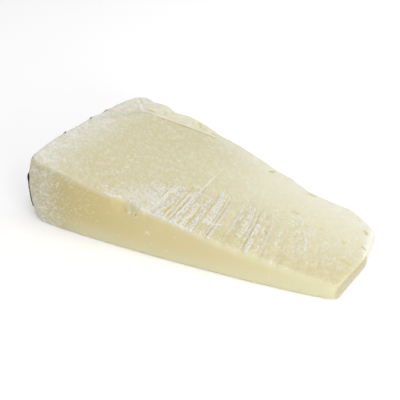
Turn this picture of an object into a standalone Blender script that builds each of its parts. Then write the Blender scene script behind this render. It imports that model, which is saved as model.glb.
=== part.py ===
"""A wedge of hard grating cheese, cut by hand from a black-coated wheel.

The wedge lies on the larger of its two big cuts and is one solid. +X runs from the rind to the broken tip,
+Z is up, and the origin is under the middle of the wedge's box, on the surface that it lies on. Lengths are
in metres; the plan is first laid out from the foot of the rind's front corner, and centred at the end.

How it is made: a grid becomes the top cut, stretched between four edges in plan and lifted to the slope of
the cut with its relief. Its rim is then extruded ring by ring, over the rounded edge, down the walls and
round the foot, and the last ring is closed by the flat face that the wedge rests on.
"""

import math

import bmesh
import bpy
from mathutils import Vector, noise

MM = 0.001

# Driving dimensions
WHEEL_RADIUS = 0.176              # the two big cuts would meet on the wheel's axis, this far from the rind
RIND_HEIGHT = 0.0342              # thickness of the wedge at the front corner of the rind
BACK_THINNING = 0.08              # the back edge is thinner than the front by this share
RIND_WIDTH = 0.0852               # front cut to back cut, along the rind
FRONT_LENGTH = 0.1446             # foot of the front cut, from the rind to the tip
FRONT_ANGLE = math.radians(7.0)   # the front cut turns back towards the tip by this much
FRONT_BOW = 0.0044                # the front cut swells in front of its chord by this much
RIND_BULGE = 0.0032               # the rind swells at half its height by this much

# Wall edges: how far the top edge stands in from the foot, and the radii along the top and the foot
FRONT_SETBACK = 0.0013
TOP_RADIUS = 0.0014
THIN_TOP_RADIUS = 0.0026                         # where the front cut is low, towards the tip
RIND_TOP_RADIUS = 0.0008
TIP_TOP_RADIUS = 0.0020
FOOT_RADIUS = 0.0008
RIND_FOOT_RADIUS = 0.0022

# Relief of the top cut
SWELL_HEIGHT, SWELL_LENGTH = 0.00035, 0.032      # slow rise and fall left by the knife
STEP_DEPTH, STEP_RUN = 0.0008, 0.0030            # torn strip along the back edge, below the crease
LUMP_HEIGHT, LUMP_LENGTH = 0.00045, 0.0055       # crumbly lumps on torn places
LIP_HEIGHT, LIP_REACH = 0.0006, 0.0030           # burr pushed up along the front edge
CHATTER_FIRST, CHATTER_PITCH, CHATTER_COUNT = 0.0600, 0.00825, 9
CHATTER_DEPTH, CHATTER_WIDTH, CHATTER_REACH = 0.00035, 0.0011, 0.031
CHATTER_START_Y = 0.009                          # where the marks meet the front edge, on average
CHATTER_HUB = Vector((0.068, 0.160))             # the knife swung about this point, so its marks fan out

# Mesh density
COLUMNS, ROWS = 76, 28
FILLET_RINGS, WALL_RINGS = 2, 4
CURVE_STEPS = 12                                 # straight steps in each span of a curve, for its length
SPACING_STEPS = 200

PASTE_COLOUR, PASTE_ROUGHNESS = (0.78, 0.71, 0.50, 1.0), 0.55
COAT_COLOUR, COAT_ROUGHNESS = (0.025, 0.024, 0.022, 1.0), 0.65


def smooth_step(low, high, value):
    """0 below low, 1 above high, and an even S between them."""
    share = min(max((value - low) / (high - low), 0.0), 1.0)
    return share * share * (3.0 - 2.0 * share)


def bump(centre, half_width, value):
    """A round hump of height 1 about centre, gone at half_width either side."""
    share = min(abs(value - centre) / half_width, 1.0)
    return (1.0 - share * share) ** 2


def lumps(place, length, seed=0.0):
    """Crumbly unevenness between -1 and 1, of the given size, at a place in plan."""
    return noise.fractal(Vector((place.x / length, place.y / length, seed)), 0.6, 2.0, 2)


# ---- The plan: four edges, each in the direction that keeps the cheese on its left ----

def along_curve(points, share):
    """The point at a share of the length of the smooth curve through the points."""
    guide = [points[0] * 2 - points[1], *points, points[-1] * 2 - points[-2]]
    samples = []
    for before, start, end, after in zip(guide, guide[1:], guide[2:], guide[3:]):
        for step in range(CURVE_STEPS):
            t = step / CURVE_STEPS
            samples.append(0.5 * (start * 2 + (end - before) * t
                                  + (before * 2 - start * 5 + end * 4 - after) * t ** 2
                                  + (start * 3 - before - end * 3 + after) * t ** 3))
    samples.append(points[-1])
    lengths = [(b - a).length for a, b in zip(samples, samples[1:])]
    rest = share * sum(lengths)
    for start, end, length in zip(samples, samples[1:], lengths):
        if rest <= length:
            return start.lerp(end, rest / length)
        rest -= length
    return samples[-1]


def plan_points(*points):
    """Plan points given in millimetres."""
    return [Vector(point) * MM for point in points]


RIND_FRONT = Vector((0.0, 0.0))
TIP_FRONT = FRONT_LENGTH * Vector((math.cos(FRONT_ANGLE), math.sin(FRONT_ANGLE)))
RIND_BACK = Vector((0.0072, RIND_WIDTH))
TIP_BACK = Vector((0.1294, 0.0717))
TIP_LINE = [TIP_FRONT, *plan_points((145.2, 35.0), (145.9, 44.0), (144.6, 54.0), (141.9, 64.6)), TIP_BACK]
BACK_LINE = [TIP_BACK, *plan_points((110.0, 70.0), (93.5, 73.9), (60.7, 81.2), (33.7, 86.2)), RIND_BACK]
RIND_LINE = [RIND_BACK, *plan_points((2.6, 78.5), (-0.1, 63.0), (-0.8, 40.0), (-1.5, 18.0)), RIND_FRONT]


def front_line(share):
    """Foot of the front cut: a chord with a blunt, half-elliptical bow."""
    bow = FRONT_BOW * math.sqrt(max(1.0 - (2.0 * share - 1.0) ** 2, 0.0))
    return RIND_FRONT.lerp(TIP_FRONT, share) + bow * Vector((math.sin(FRONT_ANGLE), -math.cos(FRONT_ANGLE)))


def front_loss(place):
    """The chip broken out of the front cut's top edge, and the raggedness of the burr round it."""
    chip = 0.0030 * bump(0.0485, 0.0070, place.x)
    burr = 0.0004 * bump(0.056, 0.022, place.x) * lumps(place, 0.004, 3.0)
    return chip + burr


def back_loss(place):
    """Crumbled notches along the back edge, and one lump that stands out."""
    notches = 0.0009 * bump(0.0125, 0.0060, place.x) + 0.0020 * bump(0.0262, 0.0055, place.x)
    lump = 0.0014 * bump(0.0958, 0.0032, place.x)
    return notches - lump + 0.0003 * lumps(place, 0.005, 5.0)


def tip_loss(place):
    """Cracks that open on the broken tip."""
    cracks = 0.0010 * bump(0.0488, 0.0024, place.y) + 0.0012 * bump(0.0587, 0.0026, place.y)
    return cracks + 0.0002 * lumps(place, 0.005, 7.0)


def rind_loss(place):
    """The coated rind is nearly even."""
    return 0.0003 * lumps(place, 0.008, 9.0)


def front_radius(place):
    """The front cut's top edge is crisp by the rind, and well rounded along the thin end."""
    return TOP_RADIUS + (THIN_TOP_RADIUS - TOP_RADIUS) * smooth_step(0.070, 0.105, place.x)


def even(value):
    """The same value at every place."""
    return lambda place: value


def front_lean(place):
    """The front cut leans back, more at the rind's end."""
    return FRONT_SETBACK * (1.0 - 0.8 * smooth_step(0.066, 0.092, place.x))


class Side:
    """One wall of the wedge: its foot line in plan, and the way it rises from the foot to the top edge."""

    def __init__(self, line, loss, loss_power, grain, lean=None, bulge=0.0,
                 top_radius=even(TOP_RADIUS), foot_radius=FOOT_RADIUS):
        self.line = line                # share of its length -> place in plan
        self.loss = loss                # place -> how much is broken off the top edge
        self.loss_power = loss_power    # how quickly that loss dies out down the wall
        self.grain = grain              # height of the wall's own unevenness
        self.lean = lean                # place -> how far the top stands in from the foot
        self.bulge = bulge              # how far it swells at half its height
        self.top_radius = top_radius    # place -> radius of the top edge
        self.foot_radius = foot_radius

    def outward(self, place, height_share):
        """How far the wall stands out from its foot line at a share of its height."""
        swell = 4.0 * self.bulge * height_share * (1.0 - height_share)
        grain = self.grain * lumps(place, 0.009, 4.0 * height_share) * height_share
        lean = self.lean(place) * height_share if self.lean else 0.0
        return swell + grain - lean - self.loss(place) * height_share ** self.loss_power


FRONT = Side(front_line, front_loss, 5.0, 0.0002, lean=front_lean, top_radius=front_radius)
TIP = Side(lambda share: along_curve(TIP_LINE, share), tip_loss, 1.5, 0.0002, top_radius=even(TIP_TOP_RADIUS))
BACK = Side(lambda share: along_curve(BACK_LINE, share), back_loss, 2.0, 0.0006)
RIND = Side(lambda share: along_curve(RIND_LINE, share), rind_loss, 1.0, 0.0002, bulge=RIND_BULGE,
            top_radius=even(RIND_TOP_RADIUS), foot_radius=RIND_FOOT_RADIUS)


class Station:
    """A place on the rim: its foot, and the wall it belongs to. A corner belongs to two walls."""

    def __init__(self, foot, walls):
        self.foot = foot
        self.walls = walls
        self.top_radius = sum(side.top_radius(foot) for side, _ in walls) / len(walls)
        self.foot_radius = sum(side.foot_radius for side, _ in walls) / len(walls)
        rim = self.at(1.0, self.top_radius)
        self.height = top_height(rim)

    def at(self, height_share, inset):
        """The plan place on the wall at a share of its height, moved in by inset."""
        shifts = [normal * (side.outward(self.foot, height_share) - inset) for side, normal in self.walls]
        return self.foot + sum(shifts, Vector((0.0, 0.0)))


def side_walls(side, shares):
    """The feet of one side and their outward normals."""
    feet = [side.line(share) for share in shares]
    walls = []
    for index in range(len(feet)):
        ahead, behind = feet[min(index + 1, len(feet) - 1)], feet[max(index - 1, 0)]
        run = (ahead - behind).normalized()
        walls.append((side, Vector((run.y, -run.x))))
    return feet, walls


def rim_stations(column_shares, row_shares):
    """All the stations round the rim, from the rind's front corner, by the tip and the back."""
    back_columns = [1.0 - share for share in reversed(column_shares)]
    back_rows = [1.0 - share for share in reversed(row_shares)]
    sides = [side_walls(FRONT, column_shares), side_walls(TIP, row_shares),
             side_walls(BACK, back_columns), side_walls(RIND, back_rows)]
    stations = []
    for index, (feet, walls) in enumerate(sides):
        last_wall = sides[index - 1][1][-1]
        stations.append(Station(feet[0], [last_wall, walls[0]]))
        stations += [Station(foot, [wall]) for foot, wall in zip(feet[1:-1], walls[1:-1])]
    return stations


# ---- The top cut ----

CREASE = plan_points((3.0, 50.0), (14.0, 70.0), (20.0, 73.6), (38.0, 75.4), (54.0, 77.6), (66.0, 82.0))


def crease_y(x):
    """Where the crease that bounds the torn back strip lies, at a distance x from the rind."""
    for start, end in zip(CREASE, CREASE[1:]):
        if x <= end.x:
            return start.lerp(end, max((x - start.x) / (end.x - start.x), 0.0)).y
    return CREASE[-1].y


def chatter(place):
    """Shallow scallops of a juddering knife, which start at the front edge and fade inwards."""
    relief = 0.0
    for mark in range(CHATTER_COUNT):
        start = Vector((CHATTER_FIRST + CHATTER_PITCH * mark, CHATTER_START_Y))
        run = (CHATTER_HUB - start).normalized()
        offset = place - start
        reach = offset.dot(run)
        aside = offset.x * run.y - offset.y * run.x
        inner = smooth_step(0.6 * CHATTER_REACH, CHATTER_REACH, reach)
        relief -= CHATTER_DEPTH * (1.0 - inner) * math.exp(-(aside / CHATTER_WIDTH) ** 2)
    return relief


def top_relief(place):
    """Height of the top cut above its even slope."""
    swell = SWELL_HEIGHT * noise.noise(Vector((place.x / SWELL_LENGTH, place.y / SWELL_LENGTH, 1.0)))
    torn = smooth_step(0.0, STEP_RUN, place.y - crease_y(place.x))
    torn_strip = torn * (LUMP_HEIGHT * lumps(place, LUMP_LENGTH, 11.0) - STEP_DEPTH)
    from_front = place.y - front_line(min(place.x / TIP_FRONT.x, 1.0) if place.x > 0.0 else 0.0).y
    near_front = 1.0 - smooth_step(0.0, LIP_REACH, from_front - FRONT_SETBACK)
    burr = near_front * LIP_HEIGHT * bump(0.056, 0.024, place.x) * (0.5 + lumps(place, 0.004, 13.0))
    return swell + torn_strip + burr + chatter(place)


def top_height(place):
    """Height of the top cut: it falls from the rind to the tip, and a little from front to back."""
    along = place.x * math.cos(FRONT_ANGLE) + place.y * math.sin(FRONT_ANGLE)
    across = place.y * math.cos(FRONT_ANGLE) - place.x * math.sin(FRONT_ANGLE)
    front_height = RIND_HEIGHT * (1.0 - along / WHEEL_RADIUS)
    return front_height * (1.0 - BACK_THINNING * across / RIND_WIDTH) + top_relief(place)


# ---- The solid ----

def column_spacing():
    """Shares along the front edge of the grid's columns, closer together where the chatter marks are."""
    first = CHATTER_FIRST / FRONT_LENGTH
    last = first + CHATTER_COUNT * CHATTER_PITCH / FRONT_LENGTH
    fine = [1.0 + smooth_step(first - 0.06, first, share) - smooth_step(last, last + 0.06, share)
            for share in (step / SPACING_STEPS for step in range(SPACING_STEPS + 1))]
    totals = [0.0]
    for left, right in zip(fine, fine[1:]):
        totals.append(totals[-1] + (left + right) / 2)
    shares = [0.0]
    for column in range(1, COLUMNS):
        wanted = totals[-1] * column / COLUMNS
        step = next(index for index, total in enumerate(totals[1:]) if total >= wanted)
        part = (wanted - totals[step]) / (totals[step + 1] - totals[step])
        shares.append((step + part) / SPACING_STEPS)
    return [*shares, 1.0]


def stretch_grid(mesh, stations, column_shares, row_shares, station_of):
    """Stretches the unit grid between the four top edges, and numbers the vertices of its rim."""
    rim = [station.at(1.0, station.top_radius) for station in stations]
    count = len(rim)
    corner_back, corner_rind = COLUMNS + ROWS, 2 * COLUMNS + ROWS
    for vertex in mesh.verts:
        column = round((vertex.co.x + 1.0) / 2.0 * COLUMNS)
        row = round((vertex.co.y + 1.0) / 2.0 * ROWS)
        u, v = column_shares[column], row_shares[row]
        front, back = rim[column], rim[corner_back + COLUMNS - column]
        tip, rind = rim[COLUMNS + row], rim[(corner_rind + ROWS - row) % count]
        corners = rim[0].lerp(rim[COLUMNS], u).lerp(rim[corner_rind].lerp(rim[corner_back], u), v)
        place = front.lerp(back, v) + rind.lerp(tip, u) - corners
        vertex.co = place.to_3d() + Vector((0.0, 0.0, top_height(place)))
        if row == 0:
            vertex[station_of] = column
        elif column == COLUMNS:
            vertex[station_of] = COLUMNS + row
        elif row == ROWS:
            vertex[station_of] = corner_back + COLUMNS - column
        elif column == 0:
            vertex[station_of] = corner_rind + ROWS - row


def wall_rings():
    """The rings from the top edge to the foot: each gives a station's place and height."""
    for ring in range(1, FILLET_RINGS + 1):
        turn = 0.5 * math.pi * ring / FILLET_RINGS
        yield lambda station, turn=turn: rounded_top(station, turn)
    for ring in range(1, WALL_RINGS + 1):
        yield lambda station, fall=ring / WALL_RINGS: wall_point(station, fall)
    yield foot_point


def rounded_top(station, turn):
    """A point on the rounded top edge, from flat (0) to upright (a quarter turn)."""
    radius = station.top_radius
    height = station.height - radius * (1.0 - math.cos(turn))
    return station.at(height / station.height, radius * (1.0 - math.sin(turn))), height


def wall_point(station, fall):
    """A point on the wall, from the end of the rounded edge (0) to the start of the foot (1)."""
    height = (station.height - station.top_radius) * (1.0 - fall) + station.foot_radius * fall
    return station.at(height / station.height, 0.0), height


def foot_point(station):
    """A point on the flat face that the wedge rests on."""
    return station.at(0.0, station.foot_radius), 0.0


def wedge_mesh():
    """The whole wedge as one closed mesh, laid out from the foot of the rind's front corner."""
    column_shares = column_spacing()
    row_shares = [row / ROWS for row in range(ROWS + 1)]
    stations = rim_stations(column_shares, row_shares)

    mesh = bmesh.new()
    station_of = mesh.verts.layers.int.new("station")
    bmesh.ops.create_grid(mesh, x_segments=COLUMNS, y_segments=ROWS, size=1.0)
    stretch_grid(mesh, stations, column_shares, row_shares, station_of)

    rim_edges = [edge for edge in mesh.edges if edge.is_boundary]
    for place_of in wall_rings():
        extruded = bmesh.ops.extrude_edge_only(mesh, edges=rim_edges)["geom"]
        ring = [item for item in extruded if isinstance(item, bmesh.types.BMVert)]
        rim_edges = [item for item in extruded if isinstance(item, bmesh.types.BMEdge) and item.is_boundary]
        for vertex in ring:
            place, height = place_of(stations[vertex[station_of]])
            vertex.co = (place.x, place.y, height)
    bmesh.ops.contextual_create(mesh, geom=rim_edges)
    bmesh.ops.recalc_face_normals(mesh, faces=mesh.faces)
    return mesh


def centre(mesh):
    """Moves the mesh so that the middle of its box, in plan, is over the origin. Returns the move."""
    xs, ys = [vertex.co.x for vertex in mesh.verts], [vertex.co.y for vertex in mesh.verts]
    move = -Vector(((min(xs) + max(xs)) / 2, (min(ys) + max(ys)) / 2, 0.0))
    bmesh.ops.translate(mesh, vec=move, verts=mesh.verts)
    return move


def coat_rind(mesh):
    """Gives the second material, the wheel's dark coating, to the wall at the rind's end."""
    for face in mesh.faces:
        if face.normal.x < -0.5 and abs(face.normal.z) < 0.7:
            face.material_index = 1


# ---- Materials and the object ----

def food_material(name, colour, roughness):
    """A plain matt food surface."""
    material = bpy.data.materials.new(name)
    material.use_nodes = True
    shader = material.node_tree.nodes["Principled BSDF"]
    shader.inputs["Base Color"].default_value = colour
    shader.inputs["Roughness"].default_value = roughness
    shader.inputs["Metallic"].default_value = 0.0
    return material


def build_wedge():
    """The one solid of the part."""
    mesh = wedge_mesh()
    centre(mesh)
    coat_rind(mesh)
    data = bpy.data.meshes.new("cheese_wedge")
    mesh.to_mesh(data)
    mesh.free()
    data.materials.append(food_material("cheese paste", PASTE_COLOUR, PASTE_ROUGHNESS))
    data.materials.append(food_material("rind coating", COAT_COLOUR, COAT_ROUGHNESS))
    data.shade_smooth()
    data.set_sharp_from_angle(angle=math.radians(40.0))
    wedge = bpy.data.objects.new("cheese_wedge", data)
    bpy.context.scene.collection.objects.link(wedge)
    return wedge


def main():
    for thing in list(bpy.data.objects):
        bpy.data.objects.remove(thing, do_unlink=True)
    build_wedge()


main()
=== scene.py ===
"""Looks of a hand-cut wedge of romano cheese: its torn and knife-marked paste, rind coating and crumbs.

Laid out as an add-on, and run as a script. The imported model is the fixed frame: the body is a refined
copy of its solid, and the other pieces lie on that body. Properties are in metres. The relief works in
millimetres from the foot of the rind's front corner, with x towards the tip and y towards the back.
"""

import math
import random

import bmesh
import bpy
from bpy.props import FloatProperty, FloatVectorProperty, IntProperty, PointerProperty
from mathutils import Matrix, Vector, noise
from mathutils.bvhtree import BVHTree


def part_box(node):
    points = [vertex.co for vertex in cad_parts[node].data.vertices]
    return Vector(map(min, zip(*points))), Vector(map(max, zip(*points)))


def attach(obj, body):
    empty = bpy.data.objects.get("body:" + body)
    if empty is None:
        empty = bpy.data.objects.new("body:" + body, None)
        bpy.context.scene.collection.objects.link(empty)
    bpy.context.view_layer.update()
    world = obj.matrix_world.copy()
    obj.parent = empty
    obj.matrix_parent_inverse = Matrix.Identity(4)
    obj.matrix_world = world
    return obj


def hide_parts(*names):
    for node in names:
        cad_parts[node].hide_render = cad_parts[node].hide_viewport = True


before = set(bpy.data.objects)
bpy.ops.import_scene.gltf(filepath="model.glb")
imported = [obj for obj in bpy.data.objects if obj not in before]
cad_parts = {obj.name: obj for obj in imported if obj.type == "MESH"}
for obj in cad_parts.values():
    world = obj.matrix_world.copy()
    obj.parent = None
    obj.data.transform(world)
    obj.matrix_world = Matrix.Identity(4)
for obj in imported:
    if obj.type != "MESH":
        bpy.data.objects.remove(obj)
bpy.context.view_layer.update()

bl_info = {
    "name": "Cheese Wedge Finish",
    "version": (1, 0, 0),
    "blender": (4, 5, 0),
    "location": "3D View > Sidebar > Cheese",
    "description": "Dresses the packed wedge with its cut surface, rind coating, crumbs and a studio stage",
    "category": "Object",
}

NODE = "cheese_wedge"
MM = 1000.0             # millimetres in a metre
NO_LENGTH = 1e-7        # a shorter length counts as nothing
WELD = 1e-6             # vertices nearer than this become one
ON_FLOOR = 1e-5         # a lower vertex is on the resting face
FACING_DOWN = -0.999    # a face whose normal points lower is the resting face
FACING_UP = 0.8         # a vertex whose normal points higher is on the top cut
FACING_FRONT = -0.4     # a place whose normal points nearer to the front is on the front cut
ROUNDS = 6              # most halvings of an edge, and passes of smoothing
SCATTER = (1.0, 0.62, 0.3)              # how far red, green and blue light spread in the paste
WHITE = (1.0, 1.0, 1.0, 1.0)
FLOOR_HALF = 3.0        # half the floor's width
FILM_WIDTH = 36.0       # width of the camera's frame, in millimetres
AIM = (-0.0815, 0.095)  # where the camera looks, as shares of the wedge's length and width
# Lamp: where it stands, and its width.
LAMPS = {"key": ((0.0, 0.0, 0.8), 0.6), "rear": ((0.3, 0.6, 0.3), 0.4), "side": ((0.35, -0.25, 0.12), 0.2)}
LOW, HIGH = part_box(NODE)
CORNER = Vector((LOW.x + 0.00469, LOW.y + 0.00098, 0.0))    # foot of the rind's front corner
LENGTH, WIDTH = (HIGH.x - LOW.x) * MM, (HIGH.y - LOW.y) * MM


def linear(red, green, blue):
    """A colour given as it looks on a screen, 0 to 255, as the renderer's linear values."""
    shares = (level / 255.0 for level in (red, green, blue))
    return tuple(v / 12.92 if v <= 0.04045 else ((v + 0.055) / 1.055) ** 2.4 for v in shares)


def tint(name, description, default):
    """A colour that a user can change."""
    return FloatVectorProperty(name=name, description=description, subtype="COLOR", size=3,
                               min=0.0, max=1.0, default=default)


def number(name, description, default, low=0.0, high=100.0, **kind):
    """A number that a user can change, between limits."""
    return FloatProperty(name=name, description=description, default=default, min=low, max=high, **kind)


def length(name, description, default, low, high):
    """A length in metres that a user can change."""
    return number(name, description, default, low, high, unit="LENGTH")


# ---- Settings ----

class PasteSettings(bpy.types.PropertyGroup):
    """The cheese itself."""

    cell: length("Cell", "Longest mesh edge where the knife marks are", 0.00055, 0.0003, 0.003)
    coarse_cell: length("Coarse cell", "Longest mesh edge elsewhere", 0.00118, 0.0004, 0.004)
    groove_depth: length("Groove depth", "Depth of the knife's grooves", 0.00003, 0.0, 0.002)
    crumble: length("Crumble", "Height of the crumbs raised on torn places", 0.0003, 0.0, 0.002)
    paste: tint("Paste", "Fresh paste of the top cut", linear(202, 194, 158))
    dry: tint("Dry paste", "Pale greyish paste behind the rind", linear(211, 211, 201))
    # Side paste is painted shade: the front cut's paste drawn more golden than the top's, standing in for
    # the shade on that face and for light scattered in the paste.
    side: tint("Side paste", "Golden paste of the front cut", linear(201, 187, 140))
    thin: tint("Thin paste", "Greenish cream of the front cut's thin end", linear(195, 195, 161))
    # Painted shade: the blunt tip's end face, which is in shade, is drawn in this darker paste; the front
    # cut also takes it towards the rind end.
    shade: tint("Shaded paste", "Duller paste of the blunt tip", linear(163, 153, 113))
    torn: tint("Torn paste", "Whitish clods torn up between the grooves", linear(215, 214, 207))
    # Cream is the torn back strip's own paler paste, and also painted light on the top towards the back and
    # the tip.
    cream: tint("Cream", "Brighter paste along the back", linear(221, 217, 192))
    # Edge paste is painted light: a paler paste laid where floor bounce light falls on the front cut's foot
    # and where light catches the rounded front edge.
    edge: tint("Edge paste", "Paler paste along thin edges and the foot", linear(204, 200, 169))
    # Groove yellow also serves as painted shade on the upper front cut near the rind, among the torn clods
    # and along the step's crease.
    groove: tint("Groove", "Moist yellow paste at the bottom of a groove", linear(184, 165, 98))
    crumb: tint("Crumb", "Whitish crumbs, flecks and smears", linear(226, 226, 219))
    pit: tint("Pit", "Ochre of the small eyes and slits", linear(194, 178, 94))
    rind: tint("Rind", "Bare rind where the coating has gone", linear(186, 172, 136))


class CoatSettings(bpy.types.PropertyGroup):
    """The dark coating on the rind."""

    thickness: length("Thickness", "Thickness of the coating", 0.00038, 0.0001, 0.003)
    wear: number("Wear", "Share of the coating's border that has flaked off", 0.5, 0.0, 1.0,
                 subtype="FACTOR")
    colour: tint("Coating", "Charcoal of the coating", linear(26, 26, 29))
    worn: tint("Worn coating", "Grey of the coating where it is rubbed", linear(72, 71, 70))


class CrumbSettings(bpy.types.PropertyGroup):
    """Loose crumbs on the top cut."""

    count: IntProperty(name="Count", description="How many crumbs", default=240, min=0, max=2000)
    size: length("Size", "Largest crumb, across", 0.0008, 0.0002, 0.005)


class StageSettings(bpy.types.PropertyGroup):
    """Floor, lights and camera."""

    floor: tint("Floor", "Plain pale floor", (0.96, 0.96, 0.96))
    glow: number("Glow", "How much light the floor itself gives off", 0.09)
    sky: number("Sky", "Strength of the even light from all round", 0.47)
    key: number("Key", "Power of the soft light overhead", 2.85, unit="POWER")
    rear: number("Rear", "Power of the soft light behind the tip", 1.25, unit="POWER")
    side: number("Side", "Power of the small light beside the tip", 1.08, unit="POWER")
    azimuth: number("Azimuth", "Turn of the camera round the wedge", math.radians(29.96),
                    -math.pi, math.pi, subtype="ANGLE")
    elevation: number("Elevation", "Height of the camera above the horizon", math.radians(35.0),
                      0.0, math.pi / 2, subtype="ANGLE")
    distance: length("Distance", "Camera to the point that it looks at", 0.3885, 0.05, 5.0)
    lens: number("Lens", "Focal length in millimetres, on a 36 mm frame", 72.0, 1.0, 500.0)


# ---- Small maths ----

def rise(low, high, value):
    """0 below low, 1 above high, and an even S between them."""
    share = min(max((value - low) / (high - low), 0), 1)
    return share * share * (3 - 2 * share)


def hump(centre, half_width, value):
    """A round hump of height 1 about centre, gone at half_width either side."""
    share = min(abs(value - centre) / half_width, 1)
    return (1 - share * share) ** 2


def grain(x, y, z=0):
    """Smooth noise between about -1 and 1."""
    return noise.noise(Vector((x, y, z)))


# ---- Pieces ----

def add_object(name, data):
    """Puts a new object into the scene."""
    thing = bpy.data.objects.new(name, data)
    bpy.context.scene.collection.objects.link(thing)
    return thing


def add_mesh(name, mesh, material):
    """Turns a bmesh into an object."""
    data = bpy.data.meshes.new(name)
    mesh.to_mesh(data)
    mesh.free()
    data.materials.append(material)
    return add_object(name, data)


def add_piece(name, mesh, material):
    """Turns a bmesh into a finished piece that rides with the wedge."""
    piece = add_mesh(name, mesh, material)
    piece.data.shade_smooth()
    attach(piece, "root")
    return piece


def solid_copy():
    """The frame's solid as one welded mesh, with its resting face in one piece."""
    mesh = bmesh.new()
    mesh.from_mesh(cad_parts[NODE].data)
    bmesh.ops.remove_doubles(mesh, verts=mesh.verts, dist=WELD)
    base = [face for face in mesh.faces if is_base(face) and face.calc_center_median().z < ON_FLOOR]
    bmesh.ops.dissolve_faces(mesh, faces=base)
    return mesh


def is_base(face):
    """Whether a face looks down, as the one that the wedge rests on does."""
    return face.normal.z < FACING_DOWN


def refine(mesh, longest_at):
    """Halves edges until none is longer than wanted at its place, and drops faces without width."""
    for _ in range(ROUNDS):
        long_edges = [edge for edge in mesh.edges
                      if edge.calc_length() > longest_at((edge.verts[0].co + edge.verts[1].co) / 2)]
        if not long_edges:
            break
        bmesh.ops.subdivide_edges(mesh, edges=long_edges, cuts=1)
        many_sided = [face for face in mesh.faces if len(face.verts) > 3 and not is_base(face)]
        bmesh.ops.triangulate(mesh, faces=many_sided)
        bmesh.ops.dissolve_degenerate(mesh, dist=NO_LENGTH, edges=mesh.edges)


def soften(mesh):
    """Rounds off the facets without moving the foot."""
    loose = [vertex for vertex in mesh.verts if vertex.co.z > ON_FLOOR]
    for _ in range(ROUNDS):
        bmesh.ops.smooth_vert(
            mesh, verts=loose, factor=0.5, use_axis_x=True, use_axis_y=True, use_axis_z=True)
    mesh.normal_update()


class Rim:
    """Where the edges of the top cut run, read from the mesh in steps of a millimetre."""

    def __init__(self, mesh):
        tops = [(vertex.co - CORNER) * MM for vertex in mesh.verts if vertex.normal.z > FACING_UP]
        self.front = self.profile([(p.x, p.y) for p in tops], min)
        self.back = self.profile([(p.x, p.y) for p in tops], max)
        self.rind = self.profile([(p.y, p.x) for p in tops], min)
        self.tip = self.profile([(p.y, p.x) for p in tops], max)
        near_front = [p for p in tops if p.y - self.at(self.front, p.x) < 2.0]
        self.lip = self.profile([(p.x, p.z) for p in near_front], max)

    @staticmethod
    def profile(pairs, pick):
        """The extreme value in each millimetre, evened over its neighbours."""
        bins = {}
        for key, value in pairs:
            bins.setdefault(int(key), []).append(value)
        edge = {key: pick(values) for key, values in bins.items()}
        keys = sorted(edge)
        even = {}
        for i, key in enumerate(keys):
            near = keys[max(i - 1, 0):i + 2]
            even[key] = sum(edge[k] for k in near) / len(near)
        return even

    @staticmethod
    def at(profile, key):
        """The profile at a place, between its two nearest millimetres."""
        low, high = min(profile), max(profile)
        spot = min(max(key - 0.5, low), high - 0.001)
        whole = int(math.floor(spot))
        first = profile.get(whole, profile[low])
        return first + (profile.get(whole + 1, first) - first) * (spot - whole)

    def margins(self, p):
        """How far in a place is from the front, back, rind and tip, and how far below the front's edge."""
        return (p.y - self.at(self.front, p.x), self.at(self.back, p.x) - p.y,
                p.x - self.at(self.rind, p.y), self.at(self.tip, p.y) - p.x, self.at(self.lip, p.x) - p.z)


# ---- Relief of the body, in millimetres ----

# Groove: its foot along the front, where it starts and ends across the wedge, and its share of the depth.
GROOVES = (
    (57.3, 10, 27, 0.35), (58.6, 8, 29, 0.85), (61.2, 9, 24, 0.35), (65, 9.5, 20, 0.6),
    (67, 8, 34, 1), (68.9, 8, 36, 0.95), (72.4, 9, 38, 0.6), (76, 8.5, 36, 1),
    (79.9, 8, 36, 0.85), (84.4, 9, 42, 0.6), (85.9, 7.5, 41, 1), (88.1, 9, 28, 0.45),
    (92, 11, 41, 0.55), (95.4, 16, 38, 0.25), (99.9, 13, 40, 0.65), (101.8, 12.5, 39, 1),
    (105.4, 12, 34, 0.3), (108.2, 15, 36, 0.4), (110.2, 15, 38, 0.3),
    (113.2, 22, 40, 0.3), (119, 14, 36, 0.3), (125.5, 16, 34, 0.2),
)
# Band of torn paste: its first and last foot, its start and end across the wedge, and how white it is.
BANDS = (
    (52, 57.6, 13, 28, 0.5), (58.9, 60, 8, 31, 0.8), (60, 66.4, 6, 31.5, 0.62),
    (67.3, 68.6, 6.5, 35, 0.62), (69.2, 72.2, 6, 37, 0.6), (72.8, 75.6, 6.5, 31, 0.62),
    (76.4, 79.5, 7, 35, 0.72), (80.3, 84, 15, 41, 0.74), (81, 83.5, 8, 16, 0.3),
    (84.7, 85.6, 7.5, 40, 0.8), (86.2, 87.6, 7.5, 34, 0.8), (92.3, 93.6, 11, 39, 0.98),
    (94, 96, 20, 38, 0.34), (96, 99.6, 17, 43, 0.6), (100.2, 101.5, 12, 42, 0.6),
    (102.1, 104.6, 11, 40, 0.7), (105, 107.8, 14, 42, 0.22), (108.4, 109.8, 15, 43, 0.8),
    (112.8, 114.4, 23, 36, 0.4), (123, 124.6, 25, 38, 0.34),
)
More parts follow.
